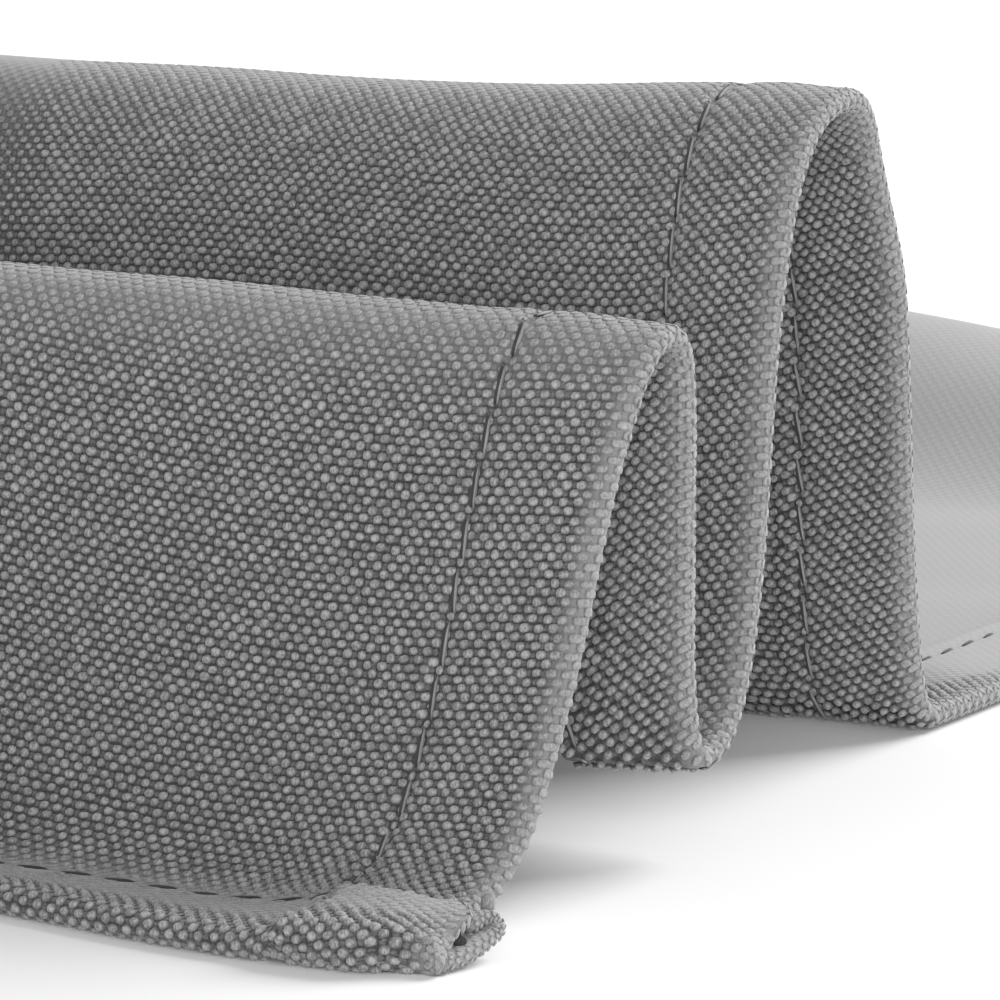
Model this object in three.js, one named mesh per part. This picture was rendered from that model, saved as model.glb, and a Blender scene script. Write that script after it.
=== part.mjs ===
// A hemmed cut length of coarse plain-weave table linen, folded back and forth on a flat surface.
// Millimetres, +Z up. X runs along the folds and Y from the front hem to the tail; the origin is
// the middle of the footprint, on the surface that the cloth lies on.
import * as THREE from 'three';

// The cloth as it is cut and hemmed
const clothWidth = 240; // along the folds, from side hem to side hem
const clothLength = 345; // across the folds, from the front hem's edge to the tail's edge
const clothThickness = 1.2; // one layer of the thick yarns
const hemWidth = 10;
const hemThickness = 2; // the layers of a hem, pressed flat by its stitching
const cornerThickness = 3.6; // the front and tail hems are turned over the side hems
const cornerRoll = 3.5; // from the edge, in which a corner is at its thickest
const hemStep = 1.8; // width in which a hem's thickness dies away into the cloth
const rimBulge = 0.45; // how far a hem's rolled edge stands out, as a share of its thickness

// One section across the cloth for each distance from the right side hem. The underside is level at
// each fold: x, y and z place it there, and before and after are the lengths of its level tangents,
// so a short one makes a tight fold. The tail's edge follows from the length of the cloth.
const sections = [
  { fromHem: 0, folds: [
    { name: 'frontEdge', x: 5.4, y: -14, z: 0, before: 0, after: 3.5 },
    { name: 'foot', x: -0.4, y: -3.4, z: 0, before: 3.5, after: 14 },
    { name: 'frontRidge', x: 0.7, y: 20.8, z: 33.2, before: 8.5, after: 3.6 },
    { name: 'valley', x: 2.5, y: 21.8, z: 6.2, before: 7, after: 13 },
    { name: 'rearRidge', x: -1.2, y: 48.9, z: 45.8, before: 15, after: 12 },
    { name: 'heel', x: -3, y: 65.2, z: 0, before: 9, after: 24 },
    { name: 'rise', x: -3.4, y: 138, z: 0, before: 24, after: 14 },
    { name: 'lowRidge', x: -4, y: 168, z: 3.5, before: 12, after: 10 },
    { name: 'rest', x: -4.4, y: 194, z: 0, before: 10, after: 6 },
  ] },
  { fromHem: 35, folds: [
    { name: 'frontEdge', x: 1.6, y: -11.5, z: 0, before: 0, after: 3.5 },
    { name: 'foot', x: 0.6, y: -1, z: 0, before: 3.5, after: 14 },
    { name: 'frontRidge', x: 1, y: 19.4, z: 34.5, before: 9, after: 5 },
    { name: 'valley', x: 3.2, y: 22.8, z: 4, before: 8, after: 14 },
    { name: 'rearRidge', x: -0.8, y: 50.2, z: 45, before: 15, after: 12.5 },
    { name: 'heel', x: -2.2, y: 65.5, z: 0, before: 9, after: 24 },
    { name: 'rise', x: -2.6, y: 142, z: 0, before: 26, after: 15 },
    { name: 'lowRidge', x: -3, y: 176, z: 7.5, before: 14, after: 11 },
    { name: 'rest', x: -3.4, y: 203, z: 0, before: 11, after: 5 },
  ] },
  { fromHem: 90, folds: [
    { name: 'frontEdge', x: 0.6, y: -9.5, z: 0, before: 0, after: 3.5 },
    { name: 'foot', x: 0.4, y: 1, z: 0, before: 3.5, after: 13 },
    { name: 'frontRidge', x: 1, y: 18.8, z: 34.6, before: 10, after: 6.5 },
    { name: 'valley', x: 2.4, y: 23.6, z: 1.4, before: 8, after: 15 },
    { name: 'rearRidge', x: 0.2, y: 51, z: 44.2, before: 15, after: 13 },
    { name: 'heel', x: -1.2, y: 66.6, z: 0, before: 9.5, after: 24 },
    { name: 'rise', x: -1.6, y: 142, z: 0, before: 26, after: 16 },
    { name: 'lowRidge', x: -2, y: 179, z: 12.8, before: 15, after: 13 },
    { name: 'rest', x: -2.4, y: 206, z: 0, before: 11, after: 4 },
  ] },
  { fromHem: 165, folds: [
    { name: 'frontEdge', x: -0.4, y: -8.2, z: 0, before: 0, after: 3.5 },
    { name: 'foot', x: 0, y: 2.3, z: 0, before: 3.5, after: 12 },
    { name: 'frontRidge', x: 0.6, y: 20.3, z: 32.6, before: 11, after: 7.5 },
    { name: 'valley', x: 1, y: 25, z: 0, before: 8.5, after: 15 },
    { name: 'rearRidge', x: 0.6, y: 52.2, z: 42.4, before: 15.5, after: 13.5 },
    { name: 'heel', x: 0, y: 68, z: 0, before: 10, after: 24 },
    { name: 'rise', x: -0.4, y: 140, z: 0, before: 26, after: 16 },
    { name: 'lowRidge', x: -0.8, y: 178, z: 15.5, before: 15, after: 13 },
    { name: 'rest', x: -1, y: 206, z: 0, before: 11, after: 4 },
  ] },
  { fromHem: 240, folds: [
    { name: 'frontEdge', x: -2.4, y: -9.4, z: 0, before: 0, after: 3.5 },
    { name: 'foot', x: -0.8, y: 1.1, z: 0, before: 3.5, after: 12 },
    { name: 'frontRidge', x: -0.6, y: 20.9, z: 30.8, before: 11, after: 7 },
    { name: 'valley', x: -1.6, y: 25.6, z: 1.6, before: 8, after: 15 },
    { name: 'rearRidge', x: 0.8, y: 53.4, z: 40.6, before: 15, after: 13 },
    { name: 'heel', x: 1.4, y: 68.4, z: 0, before: 9.5, after: 24 },
    { name: 'rise', x: 1, y: 141, z: 0, before: 26, after: 15 },
    { name: 'lowRidge', x: 0.6, y: 177, z: 11, before: 14, after: 12 },
    { name: 'rest', x: 0.4, y: 204, z: 0, before: 10, after: 4 },
  ] },
];

// How finely the solid follows each stretch between two folds, from the front hem to the tail's edge
const stretchSteps = [6, 14, 13, 15, 15, 5, 7, 8, 8];
const bodyStep = 19; // between the lines across the folds, away from the side hems
const tailReach = 12; // past the heel, in which the cloth settles onto the surface

// A value between the sections, without kinks: a cubic through them with the slopes of its neighbours
function between(values, fromHem) {
  const places = sections.map((section) => section.fromHem);
  let k = 0;
  while (k < places.length - 2 && fromHem > places[k + 1]) k += 1;
  const slopeAt = (i) => {
    const low = Math.max(i - 1, 0);
    const high = Math.min(i + 1, places.length - 1);
    return (values[high] - values[low]) / (places[high] - places[low]);
  };
  const span = places[k + 1] - places[k];
  const u = (fromHem - places[k]) / span;
  return values[k] * (1 + 2 * u) * (1 - u) ** 2 + values[k + 1] * u * u * (3 - 2 * u)
    + span * (slopeAt(k) * u * (1 - u) ** 2 - slopeAt(k + 1) * u * u * (1 - u));
}

// The fold's sizes at one distance from the side hem
function foldAt(index, fromHem) {
  const fold = {};
  for (const size of ['x', 'y', 'z', 'before', 'after']) {
    fold[size] = between(sections.map((section) => section.folds[index][size]), fromHem);
  }
  fold.x -= fromHem;
  fold.z = Math.max(fold.z, 0);
  return fold;
}

// The stretch of cloth from one fold to the next, level at both
function stretch(from, to) {
  return new THREE.CubicBezierCurve3(
    new THREE.Vector3(from.x, from.y, from.z),
    new THREE.Vector3(from.x, from.y + from.after, from.z),
    new THREE.Vector3(to.x, to.y - to.before, to.z),
    new THREE.Vector3(to.x, to.y, to.z),
  );
}

// All the stretches of one section, with the tail's flat end taking up the rest of the length
function sectionAt(fromHem) {
  const folds = sections[0].folds.map((_, index) => foldAt(index, fromHem));
  const stretches = [];
  for (let k = 0; k + 1 < folds.length; k += 1) stretches.push(stretch(folds[k], folds[k + 1]));
  const used = stretches.reduce((sum, curve) => sum + curve.getLength(), 0);
  const rest = folds[folds.length - 1];
  const tailEdge = { ...rest, y: rest.y + clothLength - used, before: rest.after };
  stretches.push(stretch(rest, tailEdge));
  return stretches;
}

const smooth = THREE.MathUtils.smoothstep;

// 1 on a hem and 0 on the cloth beside it
function onHem(fromEdge) {
  return 1 - smooth(fromEdge, hemWidth - hemStep / 2, hemWidth + hemStep / 2);
}

// The thickness of the cloth, and how far its upper face lies from the underside's curve. The upper
// face runs flush from a hem onto the cloth, except where the tail settles onto the surface.
function layersAt(fromHem, fromEnds, settled) {
  const side = onHem(Math.min(fromHem, clothWidth - fromHem));
  const hem = Math.max(side, onHem(fromEnds));
  const corner = side * (1 - smooth(fromEnds, cornerRoll, hemWidth));
  const thickness = clothThickness + (hemThickness - clothThickness) * hem
    + (cornerThickness - hemThickness) * corner;
  const flush = (hemThickness - clothThickness) * (1 - hem) * (1 - settled);
  return { thickness, upper: thickness + flush };
}

const heel = sections[0].folds.findIndex((fold) => fold.name === 'heel');

// The two faces of the cloth along one section
function facesAt(fromHem) {
  const stretches = sectionAt(fromHem);
  const faces = { upper: [], under: [], thickness: [] };
  stretches.forEach((curve, index) => {
    const steps = stretchSteps[index];
    const lastOne = index === stretches.length - 1;
    for (let i = index === 0 ? 0 : 1; i <= steps; i += 1) {
      const at = curve.getPoint(i / steps);
      const along = curve.getTangent(i / steps);
      const up = new THREE.Vector3(0, -along.z, along.y).normalize();
      const fromFront = index === 0 ? at.y - curve.v0.y : clothLength;
      const fromTail = lastOne ? curve.v3.y - at.y : clothLength;
      const past = index < heel ? 0 : at.y - stretches[heel].v0.y;
      const layers = layersAt(fromHem, Math.min(fromFront, fromTail), smooth(past, 0, tailReach));
      const upper = at.clone().addScaledVector(up, layers.upper);
      faces.upper.push(upper);
      faces.under.push(upper.clone().addScaledVector(up, -layers.thickness));
      faces.thickness.push(layers.thickness);
    }
  });
  return faces;
}

// The lines across the folds: close together over the side hems, evenly spaced on the cloth
function linesAcross() {
  const hemLines = [0, hemWidth / 2, hemWidth - hemStep / 2, hemWidth + hemStep / 2];
  const first = hemLines[hemLines.length - 1];
  const open = clothWidth - 2 * first;
  const count = Math.round(open / bodyStep);
  const lines = [...hemLines];
  for (let i = 1; i < count; i += 1) lines.push(first + (open * i) / count);
  for (const line of [...hemLines].reverse()) lines.push(clothWidth - line);
  return lines;
}

// One closed body: the upper face, the underside and the rolled rim that joins them all round
function clothGeometry() {
  const columns = linesAcross().map(facesAt);
  const across = columns.length;
  const along = columns[0].upper.length;
  const points = [];
  const triangles = [];
  const addPoint = (p) => points.push(p) - 1;
  const quad = (a, b, c, d) => triangles.push(a, b, c, a, c, d);

  const upper = columns.map((column) => column.upper.map(addPoint));
  const under = columns.map((column) => column.under.map(addPoint));
  for (let i = 0; i + 1 < across; i += 1) {
    for (let j = 0; j + 1 < along; j += 1) {
      quad(upper[i][j], upper[i][j + 1], upper[i + 1][j + 1], upper[i + 1][j]);
      quad(under[i][j], under[i + 1][j], under[i + 1][j + 1], under[i][j + 1]);
    }
  }

  const border = [];
  for (let i = 0; i < across; i += 1) border.push([i, 0]);
  for (let j = 1; j < along; j += 1) border.push([across - 1, j]);
  for (let i = across - 2; i >= 0; i -= 1) border.push([i, along - 1]);
  for (let j = along - 2; j > 0; j -= 1) border.push([0, j]);
  const rim = border.map(([i, j]) => {
    const inward = new THREE.Vector3();
    if (i === 0) inward.add(columns[1].upper[j]).sub(columns[0].upper[j]);
    if (i === across - 1) inward.add(columns[i - 1].upper[j]).sub(columns[i].upper[j]);
    if (j === 0) inward.add(columns[i].upper[1]).sub(columns[i].upper[0]);
    if (j === along - 1) inward.add(columns[i].upper[j - 1]).sub(columns[i].upper[j]);
    const middle = columns[i].upper[j].clone().lerp(columns[i].under[j], 0.5);
    return addPoint(middle.addScaledVector(inward.normalize(), -rimBulge * columns[i].thickness[j]));
  });
  border.forEach(([i, j], k) => {
    const next = (k + 1) % border.length;
    const [iNext, jNext] = border[next];
    quad(upper[i][j], upper[iNext][jNext], rim[next], rim[k]);
    quad(rim[k], rim[next], under[iNext][jNext], under[i][j]);
  });

  const geometry = new THREE.BufferGeometry();
  const numbers = points.flatMap((p) => [p.x, p.y, Math.max(p.z, 0)]);
  geometry.setAttribute('position', new THREE.Float32BufferAttribute(numbers, 3));
  geometry.setIndex(triangles);
  geometry.computeVertexNormals();
  return geometry;
}

// Stands a shape on the surface with the middle of its footprint at the origin
function onFootprint(geometry) {
  geometry.computeBoundingBox();
  const box = geometry.boundingBox;
  return geometry.translate(-(box.min.x + box.max.x) / 2, -(box.min.y + box.max.y) / 2, -box.min.z);
}

const linen = new THREE.MeshStandardMaterial({ color: 0x6e6e6e, roughness: 0.92, metalness: 0 });
const cloth = new THREE.Mesh(onFootprint(clothGeometry()), linen);
cloth.name = 'cloth';

const foldedCloth = new THREE.Group();
foldedCloth.add(cloth);
export default foldedCloth;
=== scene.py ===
# A hemmed grey tablecloth of coarse plain weave, folded back and forth so that its folds stand on edge.
# The folds are the solid's own; this script gives them thin cloth, yarns, hems and sewing.
import math

import bpy
import numpy as np
from mathutils import Matrix, Vector


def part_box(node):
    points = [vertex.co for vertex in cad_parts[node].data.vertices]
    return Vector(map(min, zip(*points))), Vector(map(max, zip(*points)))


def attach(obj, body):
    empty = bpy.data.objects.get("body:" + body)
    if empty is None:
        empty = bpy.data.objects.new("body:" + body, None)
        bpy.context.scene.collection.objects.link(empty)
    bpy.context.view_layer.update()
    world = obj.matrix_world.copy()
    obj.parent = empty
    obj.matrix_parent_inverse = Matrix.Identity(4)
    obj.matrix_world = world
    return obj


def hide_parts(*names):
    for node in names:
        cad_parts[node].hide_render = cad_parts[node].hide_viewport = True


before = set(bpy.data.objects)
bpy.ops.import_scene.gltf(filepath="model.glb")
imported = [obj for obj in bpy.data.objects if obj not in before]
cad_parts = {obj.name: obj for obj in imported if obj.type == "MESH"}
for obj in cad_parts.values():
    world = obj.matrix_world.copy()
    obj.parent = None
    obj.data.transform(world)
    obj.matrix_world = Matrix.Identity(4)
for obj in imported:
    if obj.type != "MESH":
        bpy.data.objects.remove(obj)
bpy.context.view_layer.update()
clothLow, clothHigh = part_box("cloth")
print("frame loaded, cloth from", tuple(clothLow), "to", tuple(clothHigh))

mm = 0.001

# The cloth as cut and hemmed, in millimetres. Face A is the upper face, which shows outside; the hems
# are turned onto face B. Offsets are heights over the curve that the solid's underside follows.
cloth = {
    "width": 240,
    "length": 345,
    "hemWidth": 10,
    "hemEdge": 0.9,  # width in which the turned-in layers end
    "faceA": 1.8,  # ground of face A; the yarns' crowns stand on it
    "bodyThickness": 0.5,
    "hemThickness": 1.55,
    "endHemThickness": 1.76,
    "cornerLift": 1.15,  # the front hem is turned over the side hem
    "middleLayer": 1.6,  # along this offset the cloth neither stretches nor shrinks
    "rim": 0.9,  # reach of the rolled edges
    "stitchPitch": 3.45,
}

# The folds, as the solid has them: x, y, z and the level tangents before and after, in millimetres,
# one entry for each distance from the right side hem
fromHemPlaces = [0, 35, 90, 165, 240]
foldTable = {
    "frontEdge": [(5.4, -14, 0, 0, 3.5), (1.6, -11.5, 0, 0, 3.5), (0.6, -9.5, 0, 0, 3.5),
                  (-0.4, -8.2, 0, 0, 3.5), (-2.4, -9.4, 0, 0, 3.5)],
    "foot": [(-0.4, -3.4, 0, 3.5, 14), (0.6, -1, 0, 3.5, 14), (0.4, 1, 0, 3.5, 13),
             (0, 2.3, 0, 3.5, 12), (-0.8, 1.1, 0, 3.5, 12)],
    "frontRidge": [(0.7, 20.8, 33.2, 8.5, 3.6), (1, 19.4, 34.5, 9, 5), (1, 18.8, 34.6, 10, 6.5),
                   (0.6, 20.3, 32.6, 11, 7.5), (-0.6, 20.9, 30.8, 11, 7)],
    "valley": [(2.5, 21.8, 6.2, 7, 13), (3.2, 22.8, 4, 8, 14), (2.4, 23.6, 1.4, 8, 15),
               (1, 25, 0, 8.5, 15), (-1.6, 25.6, 1.6, 8, 15)],
    "rearRidge": [(-1.2, 48.9, 45.8, 15, 12), (-0.8, 50.2, 45, 15, 12.5), (0.2, 51, 44.2, 15, 13),
                  (0.6, 52.2, 42.4, 15.5, 13.5), (0.8, 53.4, 40.6, 15, 13)],
    "heel": [(-3, 65.2, 0, 9, 24), (-2.2, 65.5, 0, 9, 24), (-1.2, 66.6, 0, 9.5, 24),
             (0, 68, 0, 10, 24), (1.4, 68.4, 0, 9.5, 24)],
    "rise": [(-3.4, 138, 0, 24, 14), (-2.6, 142, 0, 26, 15), (-1.6, 142, 0, 26, 16),
             (-0.4, 140, 0, 26, 16), (1, 141, 0, 26, 15)],
    "lowRidge": [(-4, 168, 3.5, 12, 10), (-3, 176, 7.5, 14, 11), (-2, 179, 12.8, 15, 13),
                 (-0.8, 178, 15.5, 15, 13), (0.6, 177, 11, 14, 12)],
    "rest": [(-4.4, 194, 0, 10, 6), (-3.4, 203, 0, 11, 5), (-2.4, 206, 0, 11, 4),
             (-1, 206, 0, 11, 4), (0.4, 204, 0, 10, 4)],
}
# the solid's own millimetres start elsewhere: its first fold is at the right front corner of its box
solidRim = 1.62
fromSolid = np.array([
    clothHigh.x / mm - (foldTable["frontEdge"][0][0] + solidRim),
    clothLow.y / mm - (foldTable["frontEdge"][0][1] - solidRim),
    0,
])


def ease(value, low, high):
    share = np.clip((np.asarray(value, float) - low) / (high - low), 0, 1)
    return share * share * (3 - 2 * share)


def addObject(name, data):
    made = bpy.data.objects.new(name, data)
    bpy.context.scene.collection.objects.link(made)
    return made


def storeNumbers(mesh, key, values):
    # a number or a vector for each point
    kind, field = ("FLOAT", "value") if values.ndim == 1 else ("FLOAT_VECTOR", "vector")
    attribute = mesh.attributes.new(key, kind, "POINT")
    attribute.data.foreach_set(field, values.astype(np.float32).ravel())


# The surface that all pieces follow


def foldsAt(fromHem):
    # (section, fold, size): a cubic through the table's entries with the slopes of their neighbours
    places = np.array(fromHemPlaces, float)
    values = np.array(list(foldTable.values()), float).transpose(1, 0, 2)
    slopes = np.empty_like(values)
    for k in range(len(places)):
        low, high = max(k - 1, 0), min(k + 1, len(places) - 1)
        slopes[k] = (values[high] - values[low]) / (places[high] - places[low])
    k = np.clip(np.searchsorted(places, fromHem) - 1, 0, len(places) - 2)
    span = (places[k + 1] - places[k])[:, None, None]
    u = (fromHem - places[k])[:, None, None] / span
    found = values[k] * (1 + 2 * u) * (1 - u) ** 2 + values[k + 1] * u * u * (3 - 2 * u)
    found += span * (slopes[k] * u * (1 - u) ** 2 - slopes[k + 1] * u * u * (1 - u))
    found[..., 0] -= fromHem[:, None]
    found[..., 2] = np.maximum(found[..., 2], 0)
    return found


def bezier(start, end, steps):
    # a stretch from fold to fold, level at both
    u = np.linspace(0, 1, steps + 1)[None, :, None]
    a, d = start[:, None, :3], end[:, None, :3]
    b = a + start[:, None, 4:5] * np.array([0, 1, 0])
    c = d - end[:, None, 3:4] * np.array([0, 1, 0])
    spots = a * (1 - u) ** 3 + 3 * b * u * (1 - u) ** 2 + 3 * c * u * u * (1 - u) + d * u**3
    along = (b - a) * (1 - u) ** 2 + 2 * (c - b) * u * (1 - u) + (d - c) * u * u
    return spots, along


table = {"step": 0.25, "acrossStep": 1.0, "first": -2.0, "curveSteps": 80}


def makeTable():
    # place and normal of the folded curve for each distance from the side hem and from the front edge
    fromHem = np.arange(table["first"], cloth["width"] - table["first"] + 0.5, table["acrossStep"])
    folds = foldsAt(fromHem)
    spots, along = [], []
    for k in range(folds.shape[1] - 1):
        part, way = bezier(folds[:, k], folds[:, k + 1], table["curveSteps"])
        spots.append(part if k == 0 else part[:, 1:])
        along.append(way if k == 0 else way[:, 1:])
    joined = np.concatenate(spots, axis=1)
    used = np.linalg.norm(np.diff(joined, axis=1), axis=2).sum(1)
    rest = folds[:, -1]
    tailEdge = rest.copy()
    tailEdge[:, 1] += cloth["length"] - used
    tailEdge[:, 3] = rest[:, 4]
    part, way = bezier(rest, tailEdge, table["curveSteps"])
    joined = np.concatenate([joined, part[:, 1:]], axis=1)
    ways = np.concatenate([*along, way[:, 1:]], axis=1)
    up = np.stack([np.zeros_like(ways[..., 0]), -ways[..., 2], ways[..., 1]], axis=-1)
    up /= np.linalg.norm(up, axis=-1, keepdims=True)
    middle = joined + up * cloth["middleLayer"]
    length = np.concatenate([
        np.zeros((len(fromHem), 1)),
        np.cumsum(np.linalg.norm(np.diff(middle, axis=1), axis=2), axis=1),
    ], axis=1)
    length *= cloth["length"] / length[:, -1:]
    fromFront = np.arange(0, cloth["length"] + table["step"] / 2, table["step"])
    curve = np.empty((len(fromHem), len(fromFront), 6))
    for row in range(len(fromHem)):
        for k in range(3):
            curve[row, :, k] = np.interp(fromFront, length[row], joined[row, :, k])
            curve[row, :, 3 + k] = np.interp(fromFront, length[row], up[row, :, k])
    return curve


curveTable = makeTable()


def curveAt(s, t):
    rows = np.clip((s - table["first"]) / table["acrossStep"], 0, curveTable.shape[0] - 1.001)
    columns = np.clip(t / table["step"], 0, curveTable.shape[1] - 1.001)
    i, j = rows.astype(int), columns.astype(int)
    u, v = (rows - i)[..., None], (columns - j)[..., None]
    found = (curveTable[i, j] * (1 - u) * (1 - v) + curveTable[i + 1, j] * u * (1 - v)
             + curveTable[i, j + 1] * (1 - u) * v + curveTable[i + 1, j + 1] * u * v)
    spot, up = found[..., :3], found[..., 3:]
    spot[..., 1] += np.minimum(t, 0) + np.maximum(t - cloth["length"], 0)
    return spot, up / np.linalg.norm(up, axis=-1, keepdims=True)


# Where the thin cloth leaves the solid's folds a little, in millimetres: how far it moves in x, y
# and z, then the middle and spread of the place, from the side hem and from the front hem
nudges = [
    ((-2.4, 0, 0), (0, 30), (-1, 8)),  # the front hem's end
    ((0, -2.2, 0), (14, 26), (-1, 8)),  # the front hem's edge lies further out
    ((0, 2.0, 0), (0, 4), (-1, 6)),  # and its corner is blunt
    ((-0.3, 0, 0), (0, 12), (2, 4)),  # the side hem falls back a little on its way up
    ((-0.6, 0, 0), (0, 24), (13, 8)),
    ((-0.3, 0, 0), (0, 20), (22, 14)),
    ((-0.2, 0, 0), (0, 12), (36, 22)),
    ((0, 0, -0.3), (27, 15), (51, 10)),  # the front ridge sags
    ((0, 0, 0.3), (8, 6), (54, 9)),  # but stands up at the hem's stitches
    ((0, 0, 0.4), (0, 9), (54, 8)),  # and at its end
    ((0, 0, -0.6), (9, 26), (86, 12)),  # the valley hangs lower
    ((0, 0, -0.65), (36, 34), (139, 12)),  # the rear ridge sags
    ((-0.5, -0.8, 0), (0, 16), (145, 10)),  # and is steeper at its end
    ((0, -1.2, 0), (50, 40), (9, 9)),  # the front hem's stitches lie nearer to its edge
    ((0, 0, 0.2), (50, 36), (-1, 5)),  # and its edge stands up a little from the surface
    ((0, 0, 0.9), (0, 60), (282, 50)),  # the low ridge is a little higher at its end
]

# Where the cloth is pressed, lifted or swollen, in millimetres
wear = {
    "stitchGroove": 0.3,
    "endGroove": 0.1,  # on the end hems
    "grooveWidth": 0.55,
    "pillow": 0.14,  # the hem swells between its stitches and its edge
    "pillowPlace": 4.6,
    "pillowWidth": 2.4,
    "frontDip": 1.25,  # the front hem is pressed down at its stitches
    "dipInward": ([8, 14, 20], [0, 0.75, 1]),  # that much of it, from the side hem inwards
    "dipAlong": ([0, 1.2, 8.4, 10.6, 14, 20], [0, 0.04, 0.86, 1, 0.62, 0]),  # and from the edge
    "tipDip": 0.7,  # its end slopes down to the corner
    "hollow": 2.3,  # there its layers stand apart
    "cornerFade": (8.2, 11.5),
    "settleFrom": 152.0,  # past the heel the cloth settles onto the surface, and its tail's hem too
    "settleOver": 14,
    "clearance": 0.12,
    "wander": 0.13,  # slow unevenness of the whole cloth
    "pucker": 0.07,  # small waves beside the stitches
    "puckerWidth": 1.8,
    "frontStitch": 9.2,  # the end hems' stitches, from the edge
}


def wave(s, t, seed, size):
    # slow unevenness, the same each run
    draw = np.random.default_rng(seed)
    total = np.zeros(np.broadcast(s, t).shape)
    for _ in range(7):
        angle, phase = draw.uniform(0, math.pi), draw.uniform(0, 2 * math.pi)
        rate = 2 * math.pi / (size * draw.uniform(0.6, 1.7))
        total += np.sin((s * math.cos(angle) + t * math.sin(angle)) * rate + phase)
    return total / 3.5


def layersAt(s, t):
    # offsets of the ground of face A and of face B
    width, length, hem = cloth["width"], cloth["length"], cloth["hemWidth"]
    fromSide = np.minimum(s, width - s)
    fromEnd = np.minimum(t, length - t)
    step = cloth["hemEdge"] / 2
    side = 1 - ease(fromSide, hem - step, hem + step)
    end = 1 - ease(fromEnd, hem - step, hem + step)
    turned = np.maximum(side, end)
    corner = (1 - ease(fromSide, hem - 1.5, hem + 1.5)) * (1 - ease(fromEnd, *wear["cornerFade"]))
    upper = cloth["faceA"] + cloth["cornerLift"] * corner
    # the front hem lies pressed onto the surface, thicker where it rolls over at its edge
    inward, pressed = np.interp(fromSide, *wear["dipInward"]), np.interp(t, *wear["dipAlong"])
    upper -= wear["frontDip"] * inward * pressed
    tip = 1 - ease(s, 0, 2.5)
    upper -= wear["tipDip"] * tip * (1 - ease(t, 0, 6))
    settled = ease(t, wear["settleFrom"], wear["settleFrom"] + wear["settleOver"]) * (1 - side)
    thickness = cloth["bodyThickness"] + (cloth["hemThickness"] - cloth["bodyThickness"]) * turned
    thickness += (cloth["endHemThickness"] - cloth["hemThickness"]) * end
    thickness += cloth["cornerLift"] * corner
    thickness -= wear["hollow"] * (1 - ease(s, 0.8, 3.2)) * ease(t, 0.2, 1.8) * (1 - ease(t, 8, 10))
    lift = upper - thickness - wear["clearance"]
    upper -= settled * np.maximum(lift, 0)
    pillow = np.exp(-((fromSide - wear["pillowPlace"]) / wear["pillowWidth"]) ** 2)
    upper += wear["pillow"] * pillow
    thickness += wear["pillow"] * pillow
    for place, other, line in ((fromSide, t, stitchAt(t)), (fromEnd, s, wear["frontStitch"])):
        near = np.exp(-((place - line) / wear["grooveWidth"]) ** 2)
        groove = wear["stitchGroove"] if other is t else wear["endGroove"]
        upper -= groove * near
        thickness -= 1.7 * groove * near
        beside = np.exp(-((place - line) / wear["puckerWidth"]) ** 2) - near
        upper += wear["pucker"] * beside * np.cos(2 * math.pi * other / cloth["stitchPitch"])
    return upper, upper - np.maximum(thickness, 0.3)


def groundAt(w, v, face):
    # w and v run along the cloth from the side and front hems, and on round their rolled edges:
    # below 0 and beyond the width or length they are lengths of arc
    rim, width, length = cloth["rim"], cloth["width"], cloth["length"]
    roll, pitch = np.minimum(w, 0) / rim, np.minimum(v, 0) / rim
    rollFar, pitchFar = np.maximum(w - width, 0) / rim, np.maximum(v - length, 0) / rim
    s = np.clip(w, 0, width) + rim * (np.sin(roll) + np.sin(rollFar))
    t = np.clip(v, 0, length) + rim * (np.sin(pitch) + np.sin(pitchFar))
    rounding = np.cos(roll) * np.cos(rollFar) * np.cos(pitch) * np.cos(pitchFar)
    spot, up = curveAt(s, t)
    inS, inT = np.clip(s, 0, width), np.clip(t, 0, length)
    upper, under = layersAt(inS, inT)
    middle, half = (upper + under) / 2, (upper - under) / 2
    uneven = wear["wander"] * wave(inS, inT, 5, 26) * ease(inT, 0, 12)
    offset = middle + uneven + face * half * rounding
    place = spot + up * offset[..., None]
    for shift, (middleS, spreadS), (middleT, spreadT) in nudges:
        share = 1 - ease(np.abs(inS - middleS), 0, spreadS)
        share = share * (1 - ease(np.abs(inT - middleT), 0, spreadT))
        place = place + np.array(shift) * share[..., None]
    place[..., 2] = np.maximum(place[..., 2], 0.02)
    return (place + fromSolid) * mm


def skinAt(w, v, face, step=0.05):
    # place, outward normal and the way along the cloth, from small differences
    here = groundAt(w, v, face)
    across = groundAt(w + step, v, face) - groundAt(w - step, v, face)
    along = groundAt(w, v + step, face) - groundAt(w, v - step, face)
    out = np.cross(along, across) * np.sign(face)[..., None]
    out /= np.maximum(np.linalg.norm(out, axis=-1, keepdims=True), 1e-12)
    along /= np.maximum(np.linalg.norm(along, axis=-1, keepdims=True), 1e-12)
    return here, out, along


# How the yarns run

weave = {
    "acrossPitch": 1.09,  # two yarns, across the cloth
    "alongPitch": 1.18,
    "turnedSkew": (0.26, 0.56),  # a side hem's turned-in layer is pulled along the other way
    "drift": 0.07,
    "arcB": -math.pi * cloth["rim"],
    "frontSpread": 1.04,  # the yarns fan out towards the front
    "rearSpread": 0.98,
    "rearPitch": 0.94,  # and lie closer together along the rear panel
    "hemCrowding": 0.05,
}
# How far the yarns across the cloth slope, at distances from the side hem: on the front fold, and
# on the rear fold and the tail
skewPlaces = [-3, 9, 12, 17, 30, 43, 60, 80]
frontSkew = [0.17, 0.17, 0.13, 0.08, -0.045, -0.107, -0.05, 0]
rearSkew = [0.15, 0.15, -0.05, -0.12, -0.21, -0.14, -0.04, 0]


def skewSum(s, slopes):
    # the slopes added up from the side hem inwards
    places = np.arange(-4, 100, 0.25)
    sums = np.concatenate([[0], np.cumsum(np.interp(places, skewPlaces, slopes)[1:] * 0.25)])
    return np.interp(s, places, sums)


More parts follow.
